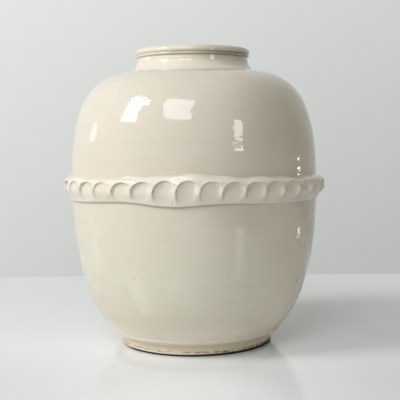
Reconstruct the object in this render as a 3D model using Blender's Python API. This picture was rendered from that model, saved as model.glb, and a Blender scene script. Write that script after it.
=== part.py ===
"""A wheel-thrown ceramic vase with a thumb-pressed band round its waist.

The vase is modelled as its maker puts it together while the clay is stiff: a lower and an upper
thrown section that meet at the waist in a stepped joint, a neck seated in the shoulder, a foot ring
seated round the trimmed base, and a strip of clay laid over the waist joint and pressed on with the
thumb. Joining slip fills the gap left between the pieces. Units are metres and +Z is up. The origin
is on the axis, on the surface that the vase stands on, and -Y is the front.
"""

import math
import random
from collections import namedtuple

import bmesh
import bpy

# Overall sizes
HEIGHT = 0.320  # table to the top of the rim
BELLY_RADIUS = 0.1335  # outside of the wall where it is widest
BELLY_HEIGHT = 0.1743  # table to the widest place
WALL = 0.0085  # thickness of the thrown walls
FLOOR = 0.011  # thickness of the base
SLIP = 0.0003  # joining slip between two pieces

# Body curves, in which a power of 2 would make an ellipse
SHOULDER_POWER = 2.62
BOWL_POWER_UP = 2.34
BOWL_POWER_OUT = 2.60
BOWL_UNDERCUT = 0.0420  # from the foot's radius in to where the bowl's curve would meet the table

# Waist joint
SEAM_HEIGHT = 0.1705  # table to the ledge of the joint, behind the middle of the band
TONGUE_HEIGHT = 0.006  # how far the lower section stands up inside the upper one

# Neck and rim
NECK_HEIGHT = 0.0283  # shoulder to the top of the rim
NECK_RADIUS = 0.0587  # outside of the neck at its narrowest
NECK_WALL = 0.0085
NECK_FLARE = 0.0045  # how far the neck's base stands out from its narrowest place
NECK_BASE_HEIGHT = 0.0034  # straight edge of the flared base
NECK_THROAT = 0.0033  # from the beads down to the narrowest place
SPIGOT_DEPTH = 0.003  # how far the neck sits down into the shoulder
SPIGOT_WIDTH = 0.0058
SHELF = 0.0071  # level shoulder left round the neck's base
RIM_OVERHANG = 0.0024  # how far the beads stand out from the neck
RIM_BEAD_HEIGHT = 0.0063  # the rolled upper bead
LOWER_BEAD_HEIGHT = 0.0031
BEAD_GROOVE = 0.0010  # depth of the groove between the beads
LIP_ROUND = 0.0050  # round of the rim towards the mouth

# Foot
FOOT_RADIUS = 0.083  # outside of the foot ring at its top
FOOT_HEIGHT = 0.0127
FOOT_TAPER = 0.0027  # how far the ring draws in towards the table
FOOT_WIDTH = 0.016  # width of the ring's seat on the base
FOOT_FACE_INSET = 0.0030  # from the ring's inner edge to the face that it stands on
FOOT_EDGE_ROUND = 0.0014
FOOT_WELL = 0.007  # table to the underside of the base inside the ring
BASE_EDGE_ROUND = 0.0012

# Thumbed band
BAND_HEIGHT = 0.027
BAND_THICKNESS = 0.0090  # from the wall to the ridges between the presses
BAND_EDGE = 0.0009  # thickness left at the strip's two edges
BAND_FLOOR = 0.0030  # least clay left under a press
BAND_WANDER = 0.0030  # the strip runs this much higher at the front and lower at the back
CROWN_POWER = 0.70  # under 1 puts the strip's thickest line above its middle
UPPER_LIP = 0.0049  # unpressed clay above the presses
LOWER_LIP = 0.0021  # unpressed clay under them
LAP_SWELL = 0.12  # share by which the strip is wider where its ends meet
LAP_SPREAD = math.radians(14)

# Thumb presses
THUMB_PITCH = 0.0227  # from one press to the next
THUMB_DEPTH = 0.0044
THUMB_POWER = 2.6  # above 2 gives a flatter floor and steeper sides
THUMB_DROP = 0.0006  # the presses sit this much under the middle of the strip
THUMB_SKEW = 0.22  # puts the deepest place left of the middle, so the left side is steeper
THUMB_ARCH = 0.80  # how much lower a press is at its sides than in its middle
THUMB_TILT = math.radians(14)  # the presses lean to the right at their tops
FIRST_PRESS = math.radians(-3.2)  # angle of the press nearest the front
PRESS_CROWDING = math.radians(1.7)  # the presses stand closer together at the front and back
CROWDING_CENTRE = math.radians(5)
PRESS_JITTER = 0.0007  # uneven heights and depths, as a hand leaves them
HAND_SEED = 11

# Fineness of the facets
TURN_STEPS = 48
CURVE_STEPS = 12
ROUND_STEPS = 4
PRESS_STEPS = 6
BACK_STEPS = 2

# Glaze and clay colours, linear
GLAZE_COLOUR = (0.680, 0.610, 0.480, 1.0)
GLAZE_ROUGHNESS = 0.12
FOOT_COLOUR = (0.560, 0.490, 0.370, 1.0)
FOOT_ROUGHNESS = 0.35

# Sizes that follow from the ones above
SHOULDER_HEIGHT = HEIGHT - NECK_HEIGHT
NECK_BASE_RADIUS = NECK_RADIUS + NECK_FLARE
NECK_BORE = NECK_RADIUS - NECK_WALL
SHOULDER_RADIUS = NECK_BASE_RADIUS + SHELF
RIM_RADIUS = NECK_RADIUS + RIM_OVERHANG
SPIGOT_RADIUS = NECK_BORE + SPIGOT_WIDTH
BOWL_END_RADIUS = FOOT_RADIUS - BOWL_UNDERCUT
BASE_SPIGOT_RADIUS = FOOT_RADIUS - FOOT_WIDTH
PRESS_COUNT = round(2 * math.pi * BELLY_RADIUS / THUMB_PITCH)

Press = namedtuple("Press", "drop depth")


def clear_scene():
    for old in list(bpy.data.objects):
        bpy.data.objects.remove(old)


def glaze(name, colour, roughness):
    """A material with the colour and gloss of one finish."""
    material = bpy.data.materials.new(name)
    material.use_nodes = True
    shader = material.node_tree.nodes["Principled BSDF"]
    shader.inputs["Base Color"].default_value = colour
    shader.inputs["Roughness"].default_value = roughness
    shader.inputs["Metallic"].default_value = 0.0
    material.diffuse_color = colour
    return material


def shares(count):
    """Even shares from 0 to 1, with count steps between them."""
    return [step / count for step in range(count + 1)]


def shoulder_point(share):
    """Point (radius, height) on the outside of the upper wall, from the widest place (0) to the shelf (1)."""
    turn = share * math.pi / 2
    out = max(0.0, math.cos(turn)) ** (2 / SHOULDER_POWER)
    up = math.sin(turn) ** (2 / SHOULDER_POWER)
    radius = SHOULDER_RADIUS + (BELLY_RADIUS - SHOULDER_RADIUS) * out
    return radius, BELLY_HEIGHT + (SHOULDER_HEIGHT - BELLY_HEIGHT) * up


def bowl_point(share):
    """Point on the outside of the lower wall, from where its curve would meet the table (0) to the widest place (1)."""
    turn = share * math.pi / 2
    out = math.sin(turn) ** (2 / BOWL_POWER_OUT)
    down = max(0.0, math.cos(turn)) ** (2 / BOWL_POWER_UP)
    radius = BOWL_END_RADIUS + (BELLY_RADIUS - BOWL_END_RADIUS) * out
    return radius, BELLY_HEIGHT * (1 - down)


def wall_radius(height):
    """Outside radius of the wall at a height between the table and the shoulder."""
    if height >= BELLY_HEIGHT:
        rise = min(1.0, (height - BELLY_HEIGHT) / (SHOULDER_HEIGHT - BELLY_HEIGHT))
        out = (1 - rise**SHOULDER_POWER) ** (1 / SHOULDER_POWER)
        return SHOULDER_RADIUS + (BELLY_RADIUS - SHOULDER_RADIUS) * out
    drop = min(1.0, (BELLY_HEIGHT - height) / BELLY_HEIGHT)
    out = (1 - drop**BOWL_POWER_UP) ** (1 / BOWL_POWER_OUT)
    return BOWL_END_RADIUS + (BELLY_RADIUS - BOWL_END_RADIUS) * out


def arc(centre, radii, start, end, steps=ROUND_STEPS):
    """Points of an elliptical arc, with angles in degrees from the outward direction."""
    angles = [math.radians(start + (end - start) * share) for share in shares(steps)]
    return [(centre[0] + radii[0] * math.cos(a), centre[1] + radii[1] * math.sin(a)) for a in angles]


def bend(start, corner, end, steps=ROUND_STEPS):
    """Points of a curve that leaves start and reaches end along the lines to a corner."""
    points = []
    for t in shares(steps):
        weights = ((1 - t) ** 2, 2 * t * (1 - t), t * t)
        radius = sum(weight * point[0] for weight, point in zip(weights, (start, corner, end)))
        height = sum(weight * point[1] for weight, point in zip(weights, (start, corner, end)))
        points.append((radius, height))
    return points


def offset_inwards(points, thickness):
    """The points of a rising line moved square to it, to its left, by a wall's thickness."""
    moved = []
    for index, (radius, height) in enumerate(points):
        before = points[max(0, index - 1)]
        after = points[min(len(points) - 1, index + 1)]
        along = (after[0] - before[0], after[1] - before[1])
        length = math.hypot(*along)
        moved.append((radius - along[1] / length * thickness, height + along[0] / length * thickness))
    return moved


def above(points, height):
    """The points that lie clear above a height."""
    return [point for point in points if point[1] > height + WALL / 4]


def below(points, height):
    """The points that lie clear below a height."""
    return [point for point in points if point[1] < height - WALL / 4]


def finished(name, mesh, material):
    """The mesh as a named, smooth-shaded object with its material."""
    mesh.shade_smooth()
    mesh.set_sharp_from_angle(angle=math.radians(40))
    mesh.materials.append(material)
    made = bpy.data.objects.new(name, mesh)
    bpy.context.scene.collection.objects.link(made)
    return made


def turned(name, outline, material, closed=True):
    """An outline of (radius, height) points turned about the axis into a solid."""
    mesh = bpy.data.meshes.new(name)
    form = bmesh.new()
    corners = [form.verts.new((0.0, -radius, height)) for radius, height in outline]
    pairs = list(zip(corners, corners[1:]))
    if closed:
        pairs.append((corners[-1], corners[0]))
    edges = [form.edges.new(pair) for pair in pairs]
    bmesh.ops.spin(
        form,
        geom=corners + edges,
        axis=(0, 0, 1),
        cent=(0, 0, 0),
        angle=2 * math.pi,
        steps=TURN_STEPS,
        use_merge=True,
    )
    bmesh.ops.remove_doubles(form, verts=form.verts, dist=1e-6)
    bmesh.ops.recalc_face_normals(form, faces=form.faces)
    form.to_mesh(mesh)
    form.free()
    return finished(name, mesh, material)


def lower_body(material):
    """The thrown bowl: its floor, its wall, and the ledge and tongue of the waist joint."""
    curve = [bowl_point(share) for share in shares(CURVE_STEPS)]
    floor_top = FOOT_WELL + FLOOR
    edge_radius = wall_radius(FOOT_HEIGHT)
    edge_top = FOOT_HEIGHT + BASE_EDGE_ROUND
    rim_radius = wall_radius(SEAM_HEIGHT)
    inner_radius = rim_radius - WALL
    tongue_radius = rim_radius - WALL / 2 - SLIP / 2
    tongue_top = SEAM_HEIGHT + TONGUE_HEIGHT
    inside = below(above(offset_inwards(curve, WALL), floor_top), SEAM_HEIGHT)
    cove = inside[0]
    outline = [
        (0.0, FOOT_WELL),
        (BASE_SPIGOT_RADIUS, FOOT_WELL),
        (BASE_SPIGOT_RADIUS, FOOT_HEIGHT),
        *bend(
            (edge_radius - BASE_EDGE_ROUND, FOOT_HEIGHT),
            (edge_radius, FOOT_HEIGHT),
            (wall_radius(edge_top), edge_top),
            2,
        ),
        *below(above(curve, edge_top), SEAM_HEIGHT),
        (rim_radius, SEAM_HEIGHT),
        (tongue_radius, SEAM_HEIGHT),
        (tongue_radius, tongue_top),
        (inner_radius, tongue_top),
        (inner_radius, SEAM_HEIGHT),
        *reversed(inside),
        *bend(cove, (cove[0] - WALL / 2, floor_top), (cove[0] - 2 * WALL, floor_top), 3)[1:],
        (0.0, floor_top),
    ]
    return turned("lower_body", outline, material, closed=False)


def upper_body(material):
    """The thrown wall and shoulder, lipped over the waist joint and rebated for the neck."""
    curve = [shoulder_point(share) for share in shares(CURVE_STEPS)]
    seat = SHOULDER_HEIGHT - SPIGOT_DEPTH - SLIP
    ceiling = SHOULDER_HEIGHT - WALL
    lip_foot = SEAM_HEIGHT + SLIP
    inner_foot = lip_foot + TONGUE_HEIGHT
    lip_radius = wall_radius(SEAM_HEIGHT)
    joint_radius = lip_radius - WALL / 2 + SLIP / 2
    outline = [
        (lip_radius, lip_foot),
        *above(curve, lip_foot),
        (SPIGOT_RADIUS + SLIP, SHOULDER_HEIGHT),
        (SPIGOT_RADIUS + SLIP, seat),
        (NECK_BORE, seat),
        *bend((NECK_BORE, seat - WALL / 4), (NECK_BORE, ceiling), (NECK_BORE + WALL / 2, ceiling), 3),
        *reversed(above(offset_inwards(curve, WALL), inner_foot)),
        (lip_radius - WALL, inner_foot),
        (joint_radius, inner_foot),
        (joint_radius, lip_foot),
    ]
    return turned("upper_body", outline, material)


def neck_collar(material):
    """The neck: a spigot, a flared base, a hollow side and a rolled rim over a thin second bead."""
    foot = SHOULDER_HEIGHT + SLIP
    spigot_foot = SHOULDER_HEIGHT - SPIGOT_DEPTH
    base_top = foot + NECK_BASE_HEIGHT
    bead_foot = HEIGHT - RIM_BEAD_HEIGHT
    lower_bead_foot = bead_foot - LOWER_BEAD_HEIGHT
    waist = lower_bead_foot - NECK_THROAT
    groove_radius = RIM_RADIUS - BEAD_GROOVE
    bead_round = RIM_BEAD_HEIGHT / 2
    outline = [
        (NECK_BORE, spigot_foot),
        (SPIGOT_RADIUS, spigot_foot),
        (SPIGOT_RADIUS, foot),
        (NECK_BASE_RADIUS, foot),
        *bend(
            (NECK_BASE_RADIUS, base_top),
            (NECK_RADIUS + NECK_FLARE / 5, (base_top + waist) / 2),
            (NECK_RADIUS, waist),
        ),
        (groove_radius - BEAD_GROOVE, lower_bead_foot),
        *arc((groove_radius, bead_foot - LOWER_BEAD_HEIGHT / 2), (BEAD_GROOVE, LOWER_BEAD_HEIGHT / 2), -60, 60, 2),
        *arc((RIM_RADIUS - bead_round, HEIGHT - bead_round), (bead_round, bead_round), -45, 90),
        *arc((NECK_BORE + LIP_ROUND, HEIGHT - LIP_ROUND), (LIP_ROUND, LIP_ROUND), 90, 180),
    ]
    return turned("neck_collar", outline, material)


def foot_ring(material):
    """The ring under the base: a level standing face, rounded edges and a slightly tapered outside."""
    top = FOOT_HEIGHT - SLIP
    inner_radius = BASE_SPIGOT_RADIUS + SLIP
    bottom_radius = FOOT_RADIUS - FOOT_TAPER
    radii = (FOOT_EDGE_ROUND, FOOT_EDGE_ROUND)
    outline = [
        (inner_radius, top),
        (inner_radius, FOOT_WELL),
        *arc((inner_radius + FOOT_FACE_INSET, FOOT_EDGE_ROUND), radii, 180, 270, 2),
        *arc((bottom_radius - FOOT_EDGE_ROUND, FOOT_EDGE_ROUND), radii, -90, 0, 3),
        (FOOT_RADIUS, top - FOOT_EDGE_ROUND),
        (FOOT_RADIUS - FOOT_EDGE_ROUND, top),
    ]
    return turned("foot_ring", outline, material)


def turn_between(angle, other):
    """The angle from other to angle, between minus and plus half a turn."""
    return (angle - other + math.pi) % (2 * math.pi) - math.pi


def strip_angle(presses_along):
    """Angle round the vase after a number of presses, which crowd together at the front and back."""
    even = FIRST_PRESS + 2 * math.pi * presses_along / PRESS_COUNT
    return even - PRESS_CROWDING * math.sin(2 * (even - CROWDING_CENTRE))


def strip_height(angle):
    """Height of the middle of the strip."""
    return SEAM_HEIGHT + BAND_WANDER * math.cos(angle)


def strip_width(angle):
    """The strip's width from its lower to its upper edge, greater where its ends meet."""
    lap = math.exp(-((turn_between(angle, strip_angle(-0.5)) / LAP_SPREAD) ** 2))
    return BAND_HEIGHT * (1 + LAP_SWELL * lap)


def plain_thickness(share):
    """Thickness of the strip before it is pressed, from its upper edge (0) to its lower edge (1)."""
    return BAND_EDGE + (BAND_THICKNESS - BAND_EDGE) * math.sin(math.pi * share**CROWN_POWER)


def thumb_presses():
    """The presses round the strip, each a little out of line as a hand leaves them."""
    hand = random.Random(HAND_SEED)
    presses = []
    for _ in range(PRESS_COUNT):
        drop = THUMB_DROP + hand.uniform(-PRESS_JITTER, PRESS_JITTER)
        depth = THUMB_DEPTH + hand.uniform(-PRESS_JITTER, PRESS_JITTER)
        presses.append(Press(drop, depth))
    return presses


def strip_section(presses, index, across, angle):
    """One closed slice of the strip, across a press from the ridge on its left (-1) to that on its right (1).

    The pressed face is a dish whose depth falls from its deepest place to nothing at its edge, as one
    minus a power of the distance. Its rows follow the edge of the dish, and the slice leans with the thumb.
    """
    press = presses[index % PRESS_COUNT]
    beside = presses[(index + (1 if across > 0 else -1)) % PRESS_COUNT]
    drop = press.drop + (beside.drop - press.drop) * abs(across) / 2
    side = across + THUMB_SKEW * (1 - across**2)
    arch = math.sqrt(1 - THUMB_ARCH * side**2)
    half = strip_width(angle) / 2
    reach_up = half - UPPER_LIP + drop
    reach_down = half - LOWER_LIP - drop
    dish_top = reach_up * arch - drop
    dish_foot = -reach_down * arch - drop
    face = [
        half,
        (half + dish_top) / 2,
        dish_top,
        0.6 * reach_up * arch - drop,
        -drop,
        -0.55 * reach_down * arch - drop,
        dish_foot,
        (dish_foot - half) / 2,
        -half,
    ]
    places = []
    for rise in face:
        reach = reach_up if rise > -drop else reach_down
        distance = math.hypot(side, (rise + drop) / reach)
        plain = plain_thickness((half - rise) / (2 * half))
        pressed = plain - press.depth * max(0.0, 1 - distance**THUMB_POWER)
        places.append((rise, max(pressed, min(plain, BAND_FLOOR))))
    for share in shares(BACK_STEPS):
        places.append((half * (2 * share - 1), 0.0))
    points = []
    for rise, thickness in places:
        height = strip_height(angle) + rise
        radius = wall_radius(height) + SLIP + thickness
        lean = angle + rise * math.tan(THUMB_TILT) / BELLY_RADIUS
        points.append((radius * math.sin(lean), -radius * math.cos(lean), height))
    return points


def thumbed_band(material):
    """The strip of clay laid round the waist, pressed on with the thumb, its ends meeting at a slant."""
    presses = thumb_presses()
    mesh = bpy.data.meshes.new("thumbed_band")
    form = bmesh.new()
    slices = []
    for step in range(PRESS_COUNT * PRESS_STEPS):
        index, part = divmod(step, PRESS_STEPS)
        across = 2 * part / PRESS_STEPS - 1
        slices.append(strip_section(presses, index, across, strip_angle(index + across / 2)))
    last_angle = strip_angle(PRESS_COUNT - 0.5) - SLIP / BELLY_RADIUS
    slices.append(strip_section(presses, PRESS_COUNT - 1, 1.0, last_angle))
    loops = [[form.verts.new(point) for point in points] for points in slices]
    for first, second in zip(loops, loops[1:]):
        for place in range(len(first)):
            after = (place + 1) % len(first)
            form.faces.new((first[place], first[after], second[after], second[place]))
    form.faces.new(loops[0])
    form.faces.new(loops[-1])
    bmesh.ops.recalc_face_normals(form, faces=form.faces)
    form.to_mesh(mesh)
    form.free()
    return finished("thumbed_band", mesh, material)


def build_vase():
    clear_scene()
    cream_glaze = glaze("cream_glaze", GLAZE_COLOUR, GLAZE_ROUGHNESS)
    worn_glaze = glaze("worn_glaze", FOOT_COLOUR, FOOT_ROUGHNESS)
    lower_body(cream_glaze)
    upper_body(cream_glaze)
    neck_collar(cream_glaze)
    foot_ring(worn_glaze)
    thumbed_band(cream_glaze)


build_vase()
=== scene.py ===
"""Looks of a wheel-thrown ceramic vase with a thumb-pressed band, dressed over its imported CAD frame.

Every piece is a fine surface worked out with numpy from the vase's own sizes, and stands in the place
of the CAD node that has its name. Lengths are metres. Angles round the vase are radians from the front
(-Y) towards +X. Azimuths and elevations of lamps are degrees.
"""

from __future__ import annotations

import logging
import math
from collections.abc import Mapping, Sequence
from dataclasses import dataclass
from enum import Enum
from typing import ClassVar

import bpy
import numpy as np
from mathutils import Matrix, Vector
from numpy.typing import NDArray


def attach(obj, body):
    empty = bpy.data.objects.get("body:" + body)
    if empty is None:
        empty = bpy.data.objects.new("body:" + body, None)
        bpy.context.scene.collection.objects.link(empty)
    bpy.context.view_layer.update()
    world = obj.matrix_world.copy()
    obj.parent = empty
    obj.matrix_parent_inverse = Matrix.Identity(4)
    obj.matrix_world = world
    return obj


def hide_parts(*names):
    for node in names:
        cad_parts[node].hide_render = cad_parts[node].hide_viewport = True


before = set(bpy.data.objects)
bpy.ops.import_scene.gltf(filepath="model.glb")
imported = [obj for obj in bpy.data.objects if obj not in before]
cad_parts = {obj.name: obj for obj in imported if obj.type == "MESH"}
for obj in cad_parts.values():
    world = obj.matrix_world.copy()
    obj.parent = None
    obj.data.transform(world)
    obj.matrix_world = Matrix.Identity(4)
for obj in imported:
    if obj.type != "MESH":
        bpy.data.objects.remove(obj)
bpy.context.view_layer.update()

log = logging.getLogger("vase")

Array = NDArray[np.float64]
Point = tuple[float, float]
Triple = tuple[float, float, float]
Colour = tuple[float, float, float, float]
Wave = tuple[float, int, float]
Tree = bpy.types.NodeTree
Socket = bpy.types.NodeSocket
TURN = 2 * math.pi
NOISE_DETAIL = 3.0


class Node(Enum):
    """The CAD nodes that the pieces stand for."""

    LOWER_BODY = "lower_body"
    UPPER_BODY = "upper_body"
    NECK_COLLAR = "neck_collar"
    FOOT_RING = "foot_ring"
    THUMBED_BAND = "thumbed_band"


class Slot(Enum):
    """The record's material slots."""

    CREAM_GLAZE = "cream_glaze"
    WORN_GLAZE = "worn_glaze"


class Closing(Enum):
    """How the two ends of a turned section are closed."""

    POLES = "poles"
    RING = "ring"


def linear(colour: str) -> Colour:
    """Turns an sRGB hex colour into linear RGBA.

    Args:
        colour: Six hex digits after a hash sign.

    Returns:
        Red, green and blue from 0 to 1, and an alpha of 1.
    """
    shares = [int(colour[place : place + 2], 16) / 255 for place in (1, 3, 5)]
    red, green, blue = (s / 12.92 if s <= 0.04045 else ((s + 0.055) / 1.055) ** 2.4 for s in shares)
    return red, green, blue, 1.0


def add(
    tree: Tree,
    kind: str,
    inputs: Mapping[str | int, object] | None = None,
    output: str | int = 0,
    **settings: object,
) -> Socket | None:
    """Adds a node, sets its properties, and fills or links its inputs.

    Args:
        tree: The node tree to add to.
        kind: The node's Blender type name, without the part that all shader nodes share.
        inputs: Values by socket name or number. A value that is an output socket is linked.
        output: Name or number of the output that is wanted.
        settings: Properties of the node itself.

    Returns:
        The wanted output socket, or nothing for a node without outputs.
    """
    node = tree.nodes.new("ShaderNode" + kind)
    for name, value in settings.items():
        setattr(node, name, value)
    for key, value in (inputs or {}).items():
        if isinstance(value, Socket):
            tree.links.new(value, node.inputs[key])
        else:
            node.inputs[key].default_value = value
    return node.outputs[output] if node.outputs else None


def smooth(share: Array) -> Array:
    """Eases a share from 0 to 1: three times its square less twice its cube, held at both ends."""
    held = np.clip(share, 0.0, 1.0)
    return held * held * (3 - 2 * held)


def way_from(angle: Array, centre: float) -> Array:
    """The short way round to each angle from another, between minus and plus half a turn."""
    return np.mod(angle - centre + math.pi, TURN) - math.pi


def waves(parts: Sequence[Wave], angle: Array) -> Array:
    """A sum of sines of an angle, each with its size, its number of turns and its phase."""
    return sum(size * np.sin(turns * angle + phase) for size, turns, phase in parts)


def line(start: Point, end: Point, count: int) -> Array:
    """Points along a straight line, as rows of radius and height: even shares of the way to its end."""
    share = np.linspace(0.0, 1.0, count)[:, None]
    return np.asarray(start) + (np.asarray(end) - np.asarray(start)) * share


def arc(centre: Point, radii: Point, start: float, end: float, count: int) -> Array:
    """Points of an elliptical arc, from one angle to another in degrees from the outward direction."""
    angle = np.radians(np.linspace(start, end, count))
    return np.column_stack([centre[0] + radii[0] * np.cos(angle), centre[1] + radii[1] * np.sin(angle)])


def curve(controls: Sequence[Point], count: int) -> Array:
    """Points of a Bezier curve: each control weighted by its Bernstein polynomial.

    Args:
        controls: Radius and height of each control point.
        count: How many points, both ends among them.

    Returns:
        Points as rows of radius and height.
    """
    share = np.linspace(0.0, 1.0, count)[:, None]
    degree = len(controls) - 1
    order = np.arange(degree + 1)
    choose = np.array([math.comb(degree, int(k)) for k in order])
    weights = choose * share**order * (1 - share) ** (degree - order)
    return weights @ np.asarray(controls)


def evenly(points: Array, count: int) -> Array:
    """Respaces a line of points to even steps along its length.

    Args:
        points: Points as rows of radius and height.
        count: How many points to return, both ends among them.

    Returns:
        Points as rows of radius and height.
    """
    along = lengths(points)
    wanted = np.linspace(0.0, along[-1], count)
    return np.column_stack([np.interp(wanted, along, points[:, axis]) for axis in (0, 1)])


def lengths(points: Array) -> Array:
    """The way along a line to each of its points: the sum of the steps up to it."""
    return np.concatenate([[0.0], np.cumsum(np.hypot(*np.diff(points, axis=0).T))])


def squares(points: Array) -> Array:
    """Unit directions square to a line of points: its direction of travel, turned to the right.

    Args:
        points: Points as rows of radius and height.

    Returns:
        Directions as rows of radius and height.
    """
    along = np.gradient(points, axis=0)
    along /= np.maximum(np.hypot(along[:, 0], along[:, 1]), 1e-12)[:, None]
    return np.column_stack([along[:, 1], -along[:, 0]])


def turned(radius: Array, angle: Array, height: Array) -> Array:
    """Points in space: x is radius times sine, y is minus radius times cosine, z is height."""
    return np.stack(np.broadcast_arrays(radius * np.sin(angle), -radius * np.cos(angle), height), axis=-1)


def linked(name: str, data: bpy.types.ID) -> bpy.types.Object:
    """Makes an object from its data and links it to the scene.

    Args:
        name: The object's name.
        data: Its mesh, light or camera.

    Returns:
        The object.
    """
    made = bpy.data.objects.new(name, data)
    bpy.context.scene.collection.objects.link(made)
    return made


def surface_object(
    node: Node, points: Array, fields: Mapping[str, Array], closing: Closing, finish: bpy.types.Material
) -> bpy.types.Object:
    """Makes a smooth closed object from a grid of points.

    The grid's first axis follows a section and its second goes round the vase, where the last column joins
    the first. A ring's last row joins its first. With poles, each end row is closed by a fan of triangles
    to the mean of its points. Sections run with the outside on the right, where radius is to the right and
    height upwards, which turns the faces outwards.

    Args:
        node: The CAD node that names the object.
        points: Grid of points, shaped rows by columns by three.
        fields: Named values for each grid point, for the material to read.
        closing: How the ends of the section are closed.
        finish: The material.

    Returns:
        The object, linked to the scene.
    """
    rows, columns, _ = points.shape
    places = np.arange(rows * columns).reshape(rows, columns)
    ring = closing is Closing.RING
    lower = places if ring else places[:-1]
    upper = np.roll(places, -1, axis=0) if ring else places[1:]
    quads = np.stack([lower, np.roll(lower, -1, 1), np.roll(upper, -1, 1), upper], axis=-1).reshape(-1, 4)
    corners = quads.ravel()
    sides = np.full(len(quads), 4)
    vertices = points.reshape(-1, 3)
    values = {key: np.broadcast_to(value, (rows, columns)).ravel() for key, value in fields.items()}
    if not ring:
        vertices = np.vstack([vertices, points[0].mean(axis=0), points[-1].mean(axis=0)])
        values = {key: np.append(value, [value[0], value[-1]]) for key, value in values.items()}
        first, last = places[0], places[-1]
        under = np.stack([np.roll(first, -1), first, np.full(columns, rows * columns)], axis=-1)
        over = np.stack([last, np.roll(last, -1), np.full(columns, rows * columns + 1)], axis=-1)
        corners = np.concatenate([corners, under.ravel(), over.ravel()])
        sides = np.concatenate([sides, np.full(2 * columns, 3)])
    mesh = bpy.data.meshes.new(node.value)
    mesh.vertices.add(len(vertices))
    mesh.vertices.foreach_set("co", vertices.astype(np.float32).ravel())
    mesh.loops.add(len(corners))
    mesh.loops.foreach_set("vertex_index", corners.astype(np.int32))
    mesh.polygons.add(len(sides))
    mesh.polygons.foreach_set("loop_start", (np.cumsum(sides) - sides).astype(np.int32))
    mesh.update(calc_edges=True)
    mesh.validate()
    mesh.shade_smooth()
    for key, value in values.items():
        mesh.attributes.new(key, "FLOAT", "POINT").data.foreach_set("value", value.astype(np.float32))
    mesh.materials.append(finish)
    return linked(node.value, mesh)


@dataclass(frozen=True)
class Ramp:
    """A value that goes from low to high as another goes from start to end, and is held past either."""

    start: float
    end: float
    low: float = 0.0
    high: float = 1.0

    def ease(self, value: Array) -> Array:
        """The value at each place, eased at both ends."""
        return self.low + (self.high - self.low) * smooth((value - self.start) / (self.end - self.start))

    def inputs(self, value: Socket) -> dict[int, object]:
        """The inputs of a map range node that does the same without easing."""
        return {0: value, 1: self.start, 2: self.end, 3: self.low, 4: self.high}


@dataclass(frozen=True)
class Bell:
    """A bell curve: its size times e to minus the square of the way from its centre over its spread."""

    size: float
    centre: float
    spread: float

    def at(self, value: Array) -> Array:
        """The curve at each value."""
        return self.size * np.exp(-(((value - self.centre) / self.spread) ** 2))

    def around(self, angle: Array) -> Array:
        """The curve at each angle, by the short way round from its centre."""
        return self.size * np.exp(-((way_from(angle, self.centre) / self.spread) ** 2))


@dataclass(frozen=True)
class Coat:
    """A colour that is laid over those before it, and the ramp that its share follows."""

    colour: str
    over: Ramp = Ramp(0.0, 1.0)


@dataclass(frozen=True)
class Finish:
    """What all finishes have: a name, a refractive index and the height of a fine unevenness."""

    name: str
    ior: float
    bump_height: float

    def layers(self, tree: Tree, place: Socket) -> tuple[Socket, Socket | float, Socket]:
        """The colour, roughness and unevenness at a place, which each finish works out for itself."""
        raise NotImplementedError

    def product(self, tree: Tree, parts: Sequence[tuple[Ramp, Socket]]) -> Socket:
        """Multiplies ramps, each of its own source.

        Args:
            tree: The material's node tree.
            parts: The ramps with their sources.

        Returns:
            The socket of the product.
        """
        shares = [add(tree, "MapRange", ramp.inputs(source)) for ramp, source in parts]
        total = shares[0]
        for share in shares[1:]:
            total = add(tree, "Math", {0: total, 1: share}, operation="MULTIPLY")
        return total

    def coated(self, tree: Tree, first: str, coats: Sequence[tuple[Coat, Socket]]) -> Socket:
        """Lays coats over a first colour, one after another.

        Args:
            tree: The material's node tree.
            first: The colour under the coats.
            coats: The coats with the sources of their shares.

        Returns:
            The socket of the colour.
        """
        tint = linear(first)
        for coat, source in coats:
            share = add(tree, "MapRange", coat.over.inputs(source))
            tint = add(tree, "Mix", {0: share, 6: tint, 7: linear(coat.colour)}, 2, data_type="RGBA")
        return tint

    def material(self) -> bpy.types.Material:
        """Builds the node material.

        Returns:
            The material, which reads Object coordinates and the piece's own fields.
        """
        made = bpy.data.materials.new(self.name)
        made.use_nodes = True
        tree = made.node_tree
        tree.nodes.clear()
        place = add(tree, "TexCoord", output="Object")
        tint, rough, uneven = self.layers(tree, place)
        bump = add(tree, "Bump", {"Strength": 1.0, "Distance": self.bump_height, "Height": uneven})
        surface = {"Base Color": tint, "Roughness": rough, "IOR": self.ior, "Normal": bump}
        add(tree, "OutputMaterial", {"Surface": add(tree, "BsdfPrincipled", surface)})
        return made


@dataclass(frozen=True)
class Speck:
    """One dark iron speck that has come through the glaze."""

    place: Triple
    radius: float


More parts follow.
